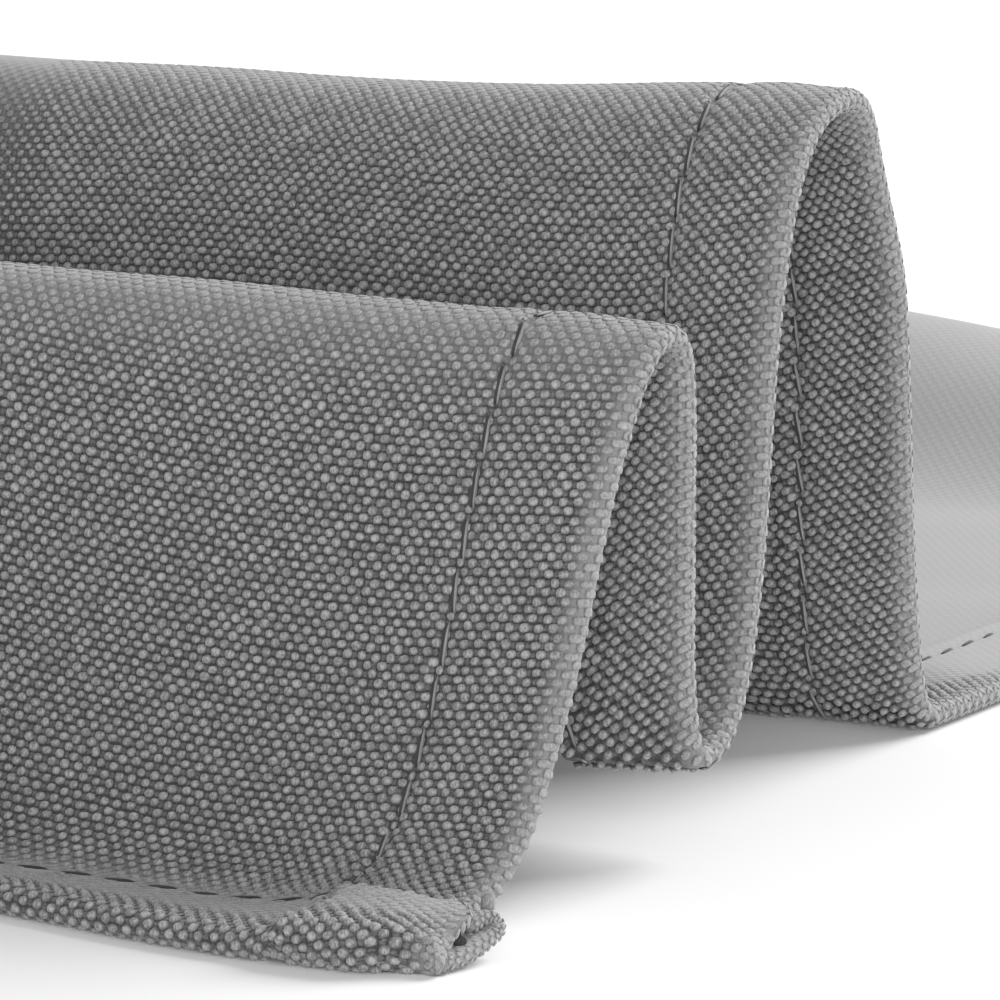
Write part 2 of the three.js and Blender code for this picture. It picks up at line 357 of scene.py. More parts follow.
def yarnAt(w, v, face):
    # the weave's own coordinates, which the pattern and the crowns share
    width = cloth["width"]
    inward = np.minimum(w, width - w)
    rear = ease(v, 48, 82)
    # a thick rolled edge has a longer way round than the arcs that w and v count
    upper, under = layersAt(np.clip(w, 0, width), np.clip(v, 0, cloth["length"]))
    longer = (upper - under) / 2 / cloth["rim"] - 1
    fullW, fullV = w + np.minimum(w, 0) * longer, v + np.minimum(v, 0) * longer
    across = np.where(face > 0, fullW, weave["arcB"] - w)
    spread = weave["frontSpread"] + (weave["rearSpread"] - weave["frontSpread"]) * rear
    turned = (face < 0) * (1 - ease(inward, 9, 10.5))
    skew = (1 - rear) * skewSum(inward, frontSkew) + rear * skewSum(inward, rearSkew)
    frontTurned, rearTurned = weave["turnedSkew"]
    skew = skew - turned * (frontTurned + (rearTurned - frontTurned) * rear) * (inward - 10)
    # the closer pitch begins over the front ridge and ends on the rear one
    closer = np.logaddexp(0, (v - 62) / 8) * 8 - np.logaddexp(0, (v - 140) / 6) * 6
    closer = closer * (1 / weave["rearPitch"] - 1)
    crowding = weave["hemCrowding"] * np.clip(w, -2, 13) * np.where(face > 0, 1, -1)
    across = across / spread + crowding + weave["drift"] * wave(w, v, 11, 30)
    along = fullV + closer + skew + weave["drift"] * wave(w, v, 12, 30)
    return across, along


def clothAt(across, along, face):
    # the other way round, by trial
    w = np.where(face > 0, across, weave["arcB"] - across)
    v = along.copy()
    for _ in range(14):
        nowAcross, nowAlong = yarnAt(w, v, face)
        w = w + np.where(face > 0, 0.75, -0.75) * (across - nowAcross)
        v = v + 0.75 * (along - nowAlong)
    return w, v


# How the raised crowns of the yarns are spread

# The crowns stand in real relief near the photographed side hem, and fade into the drawn weave
crowns = {
    "wide": 0.42,  # half sizes of one crown, and its height
    "long": 0.355,
    "high": 0.25,
    "jitter": 0.032,  # unevenness of their places
    "slant": 0.16,  # they lean a little to one side
    "square": 0.14,  # how far a crown fills its corners
    "fade": 6.0,
    "rimReach": -math.pi / 2 * cloth["rim"],  # how far they go round the side hem's rolled edge
    "cornerReach": -2.4,  # and at the front hem, which is thicker
    "cornerLength": 10,
    "yarnShare": 0.18,  # how much of a crown's tone is its yarn's
}
# What the crowns lose at the stitches and at the reach of the relief, and at the rolled edge
crownTrim = {
    "sewnWidth": 0.5,
    "sewnShare": 0.75,
    "fadedHigh": 0.15,
    "fadedWide": 0.6,
    "smoothShare": 0.9,
    "insideWide": (1.1, 0.96),  # on face B they are wider
    "besideWide": 0.12,
    "besideLong": 0.06,
}
# How far the relief reaches from the side hem, at distances along the cloth from the front hem
reachOn = {
    1: ([-3, 57, 62, 65, 80, 90, 97, 142, 146, 150, 188, 200, 345],
        [58, 58, 50, 7, 7, 22, 66, 66, 60, 7, 5, 2, 0]),
    -1: ([-3, 48, 54, 92, 96, 132, 137, 193, 199, 345], [0, 0, 16, 16, 0, 0, 19, 19, 0, 0]),
}


# How far the cloth is smooth and painted lighter as a painted sheen: at its rolled edges, over its turns
# and on its tail its yarns lie flatter and its tone is painted lighter
smoothSheen = {
    "edgeShare": 0.85,
    "edgeReach": 1.2,
    "hemShare": 0.9,  # the flat of the end hems
    "ridgeShare": 1.0,
    "ridgeSpread": 5.4,
    "valleyShare": 0.45,
    "tailShare": 0.95,
    "tailStart": 188,
}


def turnsAt(s):
    # how far along the cloth its front ridge, its valley and its rear ridge lie
    heights = curveTable[..., 2]
    rows = table["first"] + np.arange(len(heights)) * table["acrossStep"]
    turns = []
    for low, high, sign in ((30, 75, 1), (65, 110, -1), (110, 165, 1)):
        first, last = int(low / table["step"]), int(high / table["step"])
        turns.append(low + np.argmax(sign * heights[:, first:last], axis=1) * table["step"])
    return [np.interp(s, rows, turn) for turn in turns]


def smoothSheenAt(w, v, face):
    # share of flattened yarns and of painted sheen
    width, length = cloth["width"], cloth["length"]
    share = smoothSheen["edgeShare"] * (1 - ease(np.minimum(w, width - w), -0.4, smoothSheen["edgeReach"]))
    flat = np.minimum(v, length - v)
    share = np.maximum(share, smoothSheen["hemShare"] * ease(flat, 1.5, 4) * (1 - ease(flat, 9, 13)))
    if face < 0:
        return share
    frontRidge, valley, rearRidge = turnsAt(w)
    for turn, most in ((frontRidge, smoothSheen["ridgeShare"]), (valley, smoothSheen["valleyShare"]),
                       (rearRidge, smoothSheen["ridgeShare"])):
        share = np.maximum(share, most * np.exp(-((v - turn) / smoothSheen["ridgeSpread"]) ** 2))
    return np.maximum(share, smoothSheen["tailShare"] * ease(v, smoothSheen["tailStart"], smoothSheen["tailStart"] + 14))


def reliefAt(w, v, face):
    # 1 in the relief, fading to 0 at its reach
    reach = np.interp(v, *reachOn[face])
    return ease(reach - w, 0, np.minimum(crowns["fade"], reach * 0.5 + 0.01))


# The side hem's stitches run a little off the true: distances along the cloth, and from the edge
stitchRun = [(0, 9.6), (8, 9.6), (20, 9.1), (45, 9.0), (55, 8.8), (90, 8.6), (110, 7.95), (128, 7.95),
             (136, 8.3), (150, 7.7), (185, 7.9), (200, 8.3)]


def stitchAt(t):
    return np.interp(t, *zip(*stitchRun))


# Small wrappers round Blender's nodes


class Wire:
    # a socket that does arithmetic by adding Math nodes
    def __init__(self, board, socket):
        self.board = board
        self.socket = socket

    def maths(self, operation, *others):
        return self.board.maths(operation, self, *others)

    def __add__(self, other):
        return self.maths("ADD", other)

    def __radd__(self, other):
        return self.board.maths("ADD", other, self)

    def __sub__(self, other):
        return self.maths("SUBTRACT", other)

    def __rsub__(self, other):
        return self.board.maths("SUBTRACT", other, self)

    def __mul__(self, other):
        return self.maths("MULTIPLY", other)

    def __rmul__(self, other):
        return self.board.maths("MULTIPLY", other, self)


class Board:
    # one node tree and a way to add to it
    def __init__(self, tree):
        self.tree = tree

    def node(self, kind, settings=None, inputs=None):
        made = self.tree.nodes.new(kind)
        for name, value in (settings or {}).items():
            setattr(made, name, value)
        for name, value in (inputs or {}).items():
            if isinstance(value, Wire):
                self.tree.links.new(value.socket, made.inputs[name])
            elif isinstance(value, bpy.types.NodeSocket):
                self.tree.links.new(value, made.inputs[name])
            else:
                made.inputs[name].default_value = value
        return made

    def wire(self, made, output=0):
        return Wire(self, made.outputs[output])

    def maths(self, operation, *values):
        made = self.node("ShaderNodeMath", {"operation": operation}, dict(enumerate(values)))
        return self.wire(made)

    def attribute(self, name):
        # a number kept on the mesh under this name
        return self.wire(self.node("ShaderNodeAttribute", {"attribute_name": name}), 2)

    def noise(self, where, scale, detail, roughness):
        # texture noise around 0
        made = self.node("ShaderNodeTexNoise", None, {
            "Vector": where, "Scale": scale, "Detail": detail, "Roughness": roughness})
        return self.wire(made) - 0.5

    def blendColour(self, factor, a, b):
        made = self.node("ShaderNodeMix", {"data_type": "RGBA"}, {0: factor, 6: a, 7: b})
        return self.wire(made, 2)

    def spread(self, value, low, high):
        made = self.node("ShaderNodeMapRange", {"interpolation_type": "SMOOTHSTEP"},
                         {"Value": value, "From Min": low, "From Max": high})
        return self.wire(made)

    def finish(self, colour, roughness, gloss, bump):
        # cloth: its short fibres catch the light along it
        shader = self.node("ShaderNodeBsdfPrincipled", None, {
            "Base Color": colour, "Roughness": roughness, "Normal": bump.outputs[0],
            "Specular IOR Level": gloss, "Sheen Weight": 0.3, "Sheen Roughness": 0.4})
        self.node("ShaderNodeOutputMaterial", None, {"Surface": shader.outputs[0]})


def newMaterial(name):
    material = bpy.data.materials.new(name)
    material.use_nodes = True
    material.node_tree.nodes.clear()
    return material, Board(material.node_tree)


def grey(value):
    return (value, value, value, 1)


# Materials

linenLook = {
    "gapShade": (0.07, 0.052),  # painted shade: the tone between yarns, where the weave is drawn and where it is raised
    "under": (0.115, 0.12),  # the yarns that pass under, painted darker than the crowns as painted shade
    "crown": 0.215,  # the yarns that pass over
    "crownSpread": 0.14,
    "grainScale": 5200.0,  # finer than a yarn, in the map's metres
    "cloudScale": 190.0,
    "smoothSheen": 0.27,  # painted sheen: the lighter tone where the cloth is smooth
    "smoothSheenMost": 0.92,
    "paintedLightGain": 0.25,  # painted light: the tail is painted lighter, where light grazes it
    "roughness": 0.88,
    "bumpDepth": 0.00016,
}


def makeLinen():
    # the weave drawn from the cloth's UV map, which holds the yarns' coordinates in metres
    material, board = newMaterial("greyLinen")
    uv = board.node("ShaderNodeUVMap", {"uv_map": "yarns"})
    parts = board.node("ShaderNodeSeparateXYZ", None, {0: uv.outputs[0]})
    across, along = board.wire(parts, 0), board.wire(parts, 1)
    turnAcross = across * (2 * math.pi / (weave["acrossPitch"] * mm))
    turnAlong = along * (2 * math.pi / (weave["alongPitch"] * mm))
    checks = turnAcross.maths("COSINE") * turnAlong.maths("COSINE")
    grain = board.noise(uv.outputs[0], linenLook["grainScale"], 2.0, 0.7)
    cloud = board.noise(uv.outputs[0], linenLook["cloudScale"], 3.0, 0.6)
    raised, smooth, paintedLight = (board.attribute(name) for name in ("relief", "smoothSheen", "paintedLight"))
    crownMask = board.spread(checks + grain * 0.6, -0.25, 0.45)
    underMask = board.spread(checks * -1 + grain * 0.5, 0.2, 0.8)
    # painted shade between the yarns, darker where real crowns stand over it
    gapShade = linenLook["gapShade"][0] + raised * (linenLook["gapShade"][1] - linenLook["gapShade"][0])
    under = linenLook["under"][0] + raised * (linenLook["under"][1] - linenLook["under"][0])
    ground = gapShade + underMask * (under - gapShade)
    top = linenLook["crown"] + (cloud * 1.2 + grain * 1.4) * linenLook["crownSpread"]
    # painted shade: where real crowns stand, the ground beneath and between them is painted dark
    tone = ground * (1.0 + grain * 2.6) + crownMask * (1.0 - raised) * (top - ground)
    # painted sheen: where the cloth is smooth its tone is pulled towards a lighter one
    tone = tone + smooth * linenLook["smoothSheenMost"] * (linenLook["smoothSheen"] * (1.0 + grain * 0.35) - tone)
    # painted light: the tail is painted lighter
    tone = tone * (1.0 + paintedLight * linenLook["paintedLightGain"])
    colour = board.blendColour(tone.maths("MAXIMUM", 0.0), grey(0), grey(1))
    height = board.spread(checks, -1.0, 1.0) * (1.0 - smooth * 0.94) + grain * (0.4 - smooth * 0.3)
    bump = board.node("ShaderNodeBump", None, {"Strength": 1.0, "Distance": linenLook["bumpDepth"],
                                               "Height": height})
    board.finish(colour, linenLook["roughness"], 0.25, bump)
    return material


def makeYarn(name, dark, light, streakScale):
    # the crowns of the yarns and the sewing thread: fibres run along them; painted shade darkens them at
    # the foot, and painted sheen lightens them where the cloth is smooth
    material, board = newMaterial(name)
    spot = board.node("ShaderNodeAttribute", {"attribute_name": "crown"})
    parts = board.node("ShaderNodeSeparateXYZ", None, {0: spot.outputs["Vector"]})
    side, end = board.wire(parts, 0), board.wire(parts, 1)
    number, smooth = board.attribute("tone"), board.attribute("smoothSheen")
    places = board.node("ShaderNodeCombineXYZ", None,
                        {0: side * streakScale, 1: end * 1.3, 2: number * 57.0})
    streak = board.noise(places.outputs[0], 1.0, 3.0, 0.7)
    reach = (side * side + end * end).maths("SQRT") + streak * 0.5
    # painted shade at the foot of each crown
    foot = board.spread(reach, 0.6, 1.05) * (0.78 - smooth * 0.74)
    # painted sheen: lighter where the cloth is smooth
    share = streak * (5.4 - smooth * 3.2) + number * (0.55 - smooth * 0.4) + 0.22 + smooth * 0.2
    share = share.maths("MAXIMUM", 0.0)
    fibre = board.blendColour(share, grey(dark), grey(light))
    colour = board.blendColour(foot, fibre, grey(dark * 0.34))
    bump = board.node("ShaderNodeBump", None, {"Strength": 0.7, "Distance": 0.00006,
                                               "Height": streak})
    board.finish(colour, 0.82, 0.3, bump)
    return material


linen = makeLinen()
yarnFinish = makeYarn("linenYarn", 0.18, 0.4, 3.6)
threadFinish = makeYarn("sewingThread", 0.2, 0.36, 2.0)
# near-black painted shade, for the stitches' grooves and the hem's opening
shadeFinish = makeYarn("stitchShade", 0.035, 0.06, 2.0)
print("materials made")

# The cloth itself: face A, face B and the rolled edges, closed


def linesFrom(edge, far, farStep, growth, first):
    # lines that stand closer together at an edge
    lines, step, place = [], first, edge
    while place < far - farStep * 0.6:
        lines.append(place)
        step = min(step * growth, farStep)
        place += step
    return lines


hemLines = [0, 0.5, 1.2, 2.1, 3.2, 4.4, 5.6, 6.6, 7.3, 7.7, 8.0, 8.3, 8.6, 8.9, 9.2, 9.5, 9.75, 10,
            10.25, 10.5, 11, 11.8]
rimAngles = [90, 70, 50, 32, 15]


def gridLines(size, bodyLines):
    edge = [-math.radians(angle) * cloth["rim"] for angle in rimAngles] + hemLines
    return np.array(edge + bodyLines + [size - line for line in reversed(edge)])


def makeSheet():
    width, length = cloth["width"], cloth["length"]
    body = linesFrom(12.8, width - 12.8, 3.2, 1.07, 1.0)
    rows = list(np.arange(13, 178, 0.95)) + list(np.arange(179, length - 12.5, 2.0))
    w = gridLines(width, body)
    v = gridLines(length, [float(row) for row in rows])
    across, along = len(w), len(v)
    gridW, gridV = np.meshgrid(w, v, indexing="ij")
    faces, spots, uvs = [], [], []
    for face in (1, -1):
        sign = np.full(gridW.shape, float(face))
        found = groundAt(gridW, gridV, sign)
        yarns = np.stack(yarnAt(gridW, gridV, sign), axis=-1) * mm
        numbers = np.arange(across * along).reshape(across, along)
        if face < 0:  # the rim's lines are shared
            inner = numbers[1:-1, 1:-1].copy()
            numbers[1:-1, 1:-1] = across * along + np.arange(inner.size).reshape(inner.shape)
            spots.append(found[1:-1, 1:-1].reshape(-1, 3))
        else:
            spots.append(found.reshape(-1, 3))
        a, b = numbers[:-1, :-1], numbers[1:, :-1]
        c, d = numbers[1:, 1:], numbers[:-1, 1:]
        order = [a, d, c, b] if face > 0 else [a, b, c, d]
        corners = [yarns[:-1, :-1], yarns[1:, :-1], yarns[1:, 1:], yarns[:-1, 1:]]
        if face > 0:
            corners = [corners[0], corners[3], corners[2], corners[1]]
        faces.append(np.stack(order, axis=-1).reshape(-1, 4))
        uvs.append(np.stack(corners, axis=2).reshape(-1, 2))
    mesh = bpy.data.meshes.new("tablecloth")
    spots, faces = np.concatenate(spots), np.concatenate(faces)
    mesh.from_pydata(spots.tolist(), [], faces.tolist())
    layer = mesh.uv_layers.new(name="yarns")
    layer.uv.foreach_set("vector", np.concatenate(uvs).astype(np.float32).ravel())
    smooth = [smoothSheenAt(gridW, gridV, face) for face in (1, -1)]
    # painted light on the flat tail
    paintedLight = ease(gridV, smoothSheen["tailStart"], smoothSheen["tailStart"] + 20)
    sides = {"relief": (reliefAt(gridW, gridV, 1), reliefAt(gridW, gridV, -1)),
             "smoothSheen": smooth, "paintedLight": (paintedLight, paintedLight)}
    for key, (upper, under) in sides.items():
        storeNumbers(mesh, key, np.concatenate([upper.ravel(), under[1:-1, 1:-1].ravel()]))
    mesh.shade_smooth()
    mesh.materials.append(linen)
    return addObject("tablecloth", mesh)


tablecloth = makeSheet()
print("cloth made,", len(tablecloth.data.polygons), "faces")

# Raised yarns: the weave's crowns and the stitches are one small rounded shape, set on points


def makeRaisedTree():
    tree = bpy.data.node_groups.new("raisedYarns", "GeometryNodeTree")
    for name, kind in (("Points", "NodeSocketGeometry"), ("Sides", "NodeSocketInt"),
                       ("Levels", "NodeSocketInt"), ("Sunk", "NodeSocketFloat"),
                       ("Square", "NodeSocketFloat"), ("Uneven", "NodeSocketFloat"),
                       ("Ruffled", "NodeSocketFloat"), ("Seed", "NodeSocketInt"),
                       ("Finish", "NodeSocketMaterial")):
        tree.interface.new_socket(name, in_out="INPUT", socket_type=kind)
    tree.interface.new_socket("Mesh", in_out="OUTPUT", socket_type="NodeSocketGeometry")
    board = Board(tree)
    given = board.node("NodeGroupInput")
    cone = board.node("GeometryNodeMeshCone", {"fill_type": "NGON"}, {
        "Vertices": given.outputs["Sides"], "Side Segments": given.outputs["Levels"],
        "Radius Top": 0.32, "Radius Bottom": 1.0, "Depth": 1.0})
    position = board.node("GeometryNodeInputPosition")
    parts = board.node("ShaderNodeSeparateXYZ", None, {0: position.outputs[0]})
    x, y = board.wire(parts, 0), board.wire(parts, 1)
    reach = (x * x + y * y).maths("MINIMUM", 1.0)
    rise = (1.0 - reach).maths("SQRT") * (1.0 + board.wire(given, "Sunk"))
    squared = x * x * y * y * 4.0 * board.wire(given, "Square") + 1.0
    domed = board.node("ShaderNodeCombineXYZ", None,
                       {0: x * squared, 1: y * squared, 2: rise - board.wire(given, "Sunk")})
    dome = board.node("GeometryNodeSetPosition", None,
                      {"Geometry": cone.outputs["Mesh"], "Position": domed.outputs[0]})
    flat = board.node("ShaderNodeCombineXYZ", None, {0: x, 1: y})
    marked = board.node("GeometryNodeStoreNamedAttribute",
                        {"data_type": "FLOAT_VECTOR", "domain": "POINT"},
                        {"Geometry": dome.outputs[0], "Name": "crown", "Value": flat.outputs[0]})
    named = {}
    for name, kind in (("lift", "FLOAT_VECTOR"), ("run", "FLOAT_VECTOR"), ("size", "FLOAT_VECTOR")):
        made = board.node("GeometryNodeInputNamedAttribute", {"data_type": kind}, {"Name": name})
        named[name] = made.outputs["Attribute"]
    turn = board.node("FunctionNodeAxesToRotation", {"primary_axis": "Z", "secondary_axis": "Y"},
                      {"Primary Axis": named["lift"], "Secondary Axis": named["run"]})
    share = board.node("FunctionNodeRandomValue", {"data_type": "FLOAT"}, {
        "Min": 1.0 - board.wire(given, "Uneven"), "Max": 1.0 + board.wire(given, "Uneven"),
        "Seed": given.outputs["Seed"]})
    scale = board.node("ShaderNodeVectorMath", {"operation": "SCALE"},
                       {0: named["size"], "Scale": share.outputs["Value"]})
    placed = board.node("GeometryNodeInstanceOnPoints", None, {
        "Points": given.outputs["Points"], "Instance": marked.outputs[0],
        "Rotation": turn.outputs[0], "Scale": scale.outputs[0]})
    solid = board.node("GeometryNodeRealizeInstances", None, {"Geometry": placed.outputs[0]})
    where = board.node("GeometryNodeInputPosition")
    bumps = board.node("ShaderNodeTexNoise", None, {"Vector": where.outputs[0], "Scale": 1900.0,
                                                   "Detail": 0.0})
    centred = board.node("ShaderNodeVectorMath", {"operation": "SUBTRACT"},
                         {0: bumps.outputs["Color"], 1: (0.5, 0.5, 0.5)})
    softness = board.wire(board.node("GeometryNodeInputNamedAttribute", {"data_type": "FLOAT"},
                                     {"Name": "smoothSheen"}))
    push = board.node("ShaderNodeVectorMath", {"operation": "SCALE"},
                      {0: centred.outputs[0], "Scale": board.wire(given, "Ruffled") * (1.0 - softness)})
    ruffled = board.node("GeometryNodeSetPosition", None,
                         {"Geometry": solid.outputs[0], "Offset": push.outputs[0]})
    smooth = board.node("GeometryNodeSetShadeSmooth", None, {"Geometry": ruffled.outputs[0]})
    finished = board.node("GeometryNodeSetMaterial", None, {
        "Geometry": smooth.outputs[0], "Material": given.outputs["Finish"]})
    board.node("NodeGroupOutput", None, {0: finished.outputs[0]})
    return tree


raisedTree = makeRaisedTree()


def setOnPoints(name, points, finish, sides=8, levels=2, sunk=0.35, uneven=0.03, ruffled=0.13, seed=1):
    # points: dictionary of place, lift, run, size and tone arrays
    mesh = bpy.data.meshes.new(name + "Points")
    place = points["place"].copy()
    place[:, 2] = np.maximum(place[:, 2], points["size"][:, 2])  # none sinks into the surface
    mesh.from_pydata(place.tolist(), [], [])
    for key in ("lift", "run", "size", "tone", "smoothSheen"):
        storeNumbers(mesh, key, points[key])
    seedObject = addObject(name + "Points", mesh)
    modifier = seedObject.modifiers.new("raisedYarns", "NODES")
    modifier.node_group = raisedTree
    given = {"Sides": sides, "Levels": levels, "Sunk": sunk, "Square": crowns["square"], "Uneven": uneven,
             "Ruffled": ruffled * mm, "Seed": seed, "Finish": finish}
    for item in raisedTree.interface.items_tree:
        if item.name in given:
            modifier[item.identifier] = given[item.name]
    graph = bpy.context.evaluated_depsgraph_get()
    made = bpy.data.meshes.new_from_object(seedObject.evaluated_get(graph))
    bpy.data.objects.remove(seedObject)
    made.name = name
    print(name, "made,", len(made.polygons), "faces")
    return addObject(name, made)


crownPieces = {  # from and to along the cloth, and the face
    "frontPanelYarns": (-2.8, 30, 1),
    "frontRidgeYarns": (30, 72, 1),
    "rearPanelFootYarns": (72, 112, 1),
    "rearPanelYarns": (112, 146, 1),
    "heelYarns": (146, 240, 1),
    "innerYarns": (46, 214, -1),
}


def crownPoints(firstV, lastV, face, seed):
    draw = np.random.default_rng(seed)
    a, b = weave["acrossPitch"], weave["alongPitch"]
    reach = max(reachOn[face][1])
    low, high = (-4, reach + 6) if face > 0 else (weave["arcB"] - reach - 6, 4)
    columns = np.arange(math.floor(low / a), math.ceil(high / a) + 1)
    rows = np.arange(math.floor((firstV - 20) / b * 2), math.ceil((lastV + 40) / b * 2) + 1)
    i, j = np.meshgrid(columns, rows, indexing="ij")
    across = (i + 0.5 * (j % 2)).ravel() * a
    along = (j * 0.5).ravel() * b
    # yarns differ a little, and so do their crowns
    yarnTone = np.random.default_rng(3).uniform(0, 1, 4000)
    tones = (1 - crowns["yarnShare"]) * draw.uniform(0, 1, across.size)
    yarns = (np.round(across / a * 2).astype(int) + len(yarnTone) // 2) % len(yarnTone)
    tones += crowns["yarnShare"] * yarnTone[yarns]
    sign = np.full(across.shape, float(face))
    w, v = clothAt(across, along, sign)
    edge = np.where(v < crowns["cornerLength"], crowns["cornerReach"], crowns["rimReach"])
    kept = (w > edge) & (v > firstV) & (v <= lastV)
    kept &= reliefAt(w, v, face) > 0.02
    across, along, sign, tones = across[kept], along[kept], sign[kept], tones[kept]
    across = across + draw.normal(0, crowns["jitter"], across.size)
    along = along + draw.normal(0, crowns["jitter"], across.size)
    w, v = clothAt(across, along, sign)
    place, lift, run = skinAt(w, v, sign)
    # each crown is turned with its row of the weave
    row = groundAt(*clothAt(across + 0.3, along, sign), sign) - place
    run = np.cross(lift, row)
    run /= np.linalg.norm(run, axis=-1, keepdims=True)
    run = run - crowns["slant"] * np.cross(run, lift)
    fade = reliefAt(w, v, face)
    size = np.array([crowns["wide"], crowns["long"], crowns["high"]]) * np.ones((len(w), 3)) * mm
    size *= draw.uniform(0.9, 1.1, size.shape)
    # lower where the cloth is smooth, and at the stitches
    smooth = smoothSheenAt(w, v, face)
    sewn = sum(np.exp(-((place - line) / crownTrim["sewnWidth"]) ** 2)
               for place, line in ((w, stitchAt(v)), (v, wear["frontStitch"])))
    size[:, 2] *= crownTrim["fadedHigh"] + (1 - crownTrim["fadedHigh"]) * fade
    size[:, 2] *= 1 - crownTrim["smoothShare"] * smooth**1.5
    size[:, 2] *= 1 - crownTrim["sewnShare"] * np.clip(sewn, 0, 1)
    size[:, :2] *= (crownTrim["fadedWide"] + (1 - crownTrim["fadedWide"]) * fade)[:, None]
    if face < 0:
        size[:, :2] *= crownTrim["insideWide"]
    beside = 1 - ease(w, 0.3, 1.6)
    size[:, 0] *= 1 + crownTrim["besideWide"] * beside
    size[:, 1] *= 1 - crownTrim["besideLong"] * beside
    return {"place": place, "lift": lift, "run": run, "size": size, "tone": tones, "smoothSheen": smooth}


yarnPieces = [setOnPoints(name, crownPoints(*field, seed), yarnFinish, seed=seed)
              for seed, (name, field) in enumerate(crownPieces.items())]

# The end of the front hem: its turned-in layer curls out at the photographed corner

# y and z of the layer's middle in the solid's millimetres, how far it sticks out, and its thickness
curlPath = [(-13.2, 0.58, 4.1, 1.1), (-12.0, 0.6, 4.5, 1.1), (-10.6, 0.9, 4.9, 1.0),
            (-9.2, 1.25, 5.0, 0.9), (-8.0, 1.5, 5.0, 0.8), (-7.4, 1.9, 4.9, 0.72),
            (-7.5, 2.35, 4.6, 0.7), (-8.0, 2.6, 4.3, 0.7), (-8.8, 2.35, 4.1, 0.9),
            (-9.5, 2.0, 3.9, 1.1)]
curl = {
    "inside": -1.5,  # the layer starts this far inside the hem's end
    "steps": 60,
    "ringSteps": 22,
    "mapSize": 12,  # of its drawn weave
    "pathLength": 12.5,
    "ringLength": 13.5,
    "yarnPitch": 0.4,
    "crownSize": (0.42, 0.6),  # its crowns are small and low
    "crownHigh": 0.6,
    "crownSmoothSheen": 0.7,
}


def curlAt(u, side):
    # u: 0 to 1 along the path; side: 0 to 1 from the inner end of the upper face round to that of
    # the lower one; gives place, outward normal and the way along the path
    knots = np.linspace(0, 1, len(curlPath))
    values = np.array(curlPath)
    smooth = []
    for column in range(4):
        line = np.interp(np.clip(u[..., None] + np.linspace(-0.05, 0.05, 5), 0, 1), knots,
                         values[:, column])
        smooth.append(line.mean(-1))
    y, z, out, thickness = smooth
    ahead = np.clip(u + 0.02, 0, 1)
    behind = np.clip(u - 0.02, 0, 1)
    alongY = np.interp(ahead, knots, values[:, 0]) - np.interp(behind, knots, values[:, 0])
    alongZ = np.interp(ahead, knots, values[:, 1]) - np.interp(behind, knots, values[:, 1])
    length = np.hypot(alongY, alongZ)
    alongY, alongZ = alongY / length, alongZ / length
    half = thickness / 2 * (0.75 + 0.25 * np.cos(np.clip((u - 0.85) / 0.15, 0, 1) * math.pi))
    flat = out - half - curl["inside"]
    around = side * (2 * flat + math.pi * half)
    turn = np.clip((around - flat) / half, 0, math.pi)
    x = curl["inside"] + np.minimum(around, flat) - np.maximum(around - flat - math.pi * half, 0)
    x = x + half * np.sin(turn)
    height = half * np.cos(turn)
    place = np.stack([x, y - alongZ * height, z + alongY * height], axis=-1)
    lift = np.stack([np.sin(turn), -alongZ * np.cos(turn), alongY * np.cos(turn)], axis=-1)
    run = np.stack([np.zeros_like(x), alongY, alongZ], axis=-1)
    return (place + fromSolid) * mm, lift, run


def makeCurl():
    u, side = np.meshgrid(np.linspace(0, 1, curl["steps"] + 1), np.linspace(0, 1, curl["ringSteps"] + 1),
                          indexing="ij")
    spots = curlAt(u, side)[0]
    rows, columns = u.shape
    numbers = np.arange(rows * columns).reshape(rows, columns)
    a, b = numbers[:-1, :-1].ravel(), numbers[1:, :-1].ravel()
    c, d = numbers[1:, 1:].ravel(), numbers[:-1, 1:].ravel()
    faces = np.stack([a, b, c, d], axis=-1).tolist()
    # closed at the inner edge and at both ends
    faces += [[numbers[k, -1], numbers[k + 1, -1], numbers[k + 1, 0], numbers[k, 0]]
              for k in range(rows - 1)]
    faces += [numbers[0, :].tolist(), numbers[-1, ::-1].tolist()]
    mesh = bpy.data.meshes.new("hemCurl")
    mesh.from_pydata(spots.reshape(-1, 3).tolist(), [], faces)
    layer = mesh.uv_layers.new(name="yarns")
    across = side.ravel() * curl["mapSize"] * mm
    along = u.ravel() * curl["mapSize"] * mm
    corner = np.array([loop.vertex_index for loop in mesh.loops])
    layer.uv.foreach_set("vector", np.stack([across[corner], along[corner]], axis=-1)
                         .astype(np.float32).ravel())
    # painted light and painted sheen: the curl's tone is painted lighter
    for key, value in (("relief", 0.5), ("smoothSheen", 0.9), ("paintedLight", 0.9)):
        storeNumbers(mesh, key, np.full(rows * columns, value))
    mesh.shade_smooth()
    mesh.materials.append(linen)
    return addObject("hemCurl", mesh)


def curlCrowns():
    draw = np.random.default_rng(21)
    uStep, sideStep = curl["yarnPitch"] / curl["pathLength"], curl["yarnPitch"] / curl["ringLength"]
    i, j = np.meshgrid(np.arange(int(1 / uStep)), np.arange(int(1 / sideStep)), indexing="ij")
    kept = ((i + j) % 2 == 0).ravel()
    u = ((i + 0.5) * uStep).ravel()[kept]
    side = ((j + 0.5) * sideStep).ravel()[kept]
    place, lift, run = curlAt(u, side)
    size = np.array([crowns["wide"], crowns["long"], crowns["high"]]) * np.ones((len(u), 3)) * mm
    size *= draw.uniform(*curl["crownSize"], size.shape)
    size[:, 2] *= curl["crownHigh"]
    return {"place": place, "lift": lift, "run": run, "size": size,
            "tone": draw.uniform(0.5, 1.5, len(u)), "smoothSheen": np.full(len(u), curl["crownSmoothSheen"])}


hemCurl = makeCurl()
curlYarns = setOnPoints("curlYarns", curlCrowns(), yarnFinish, seed=9)

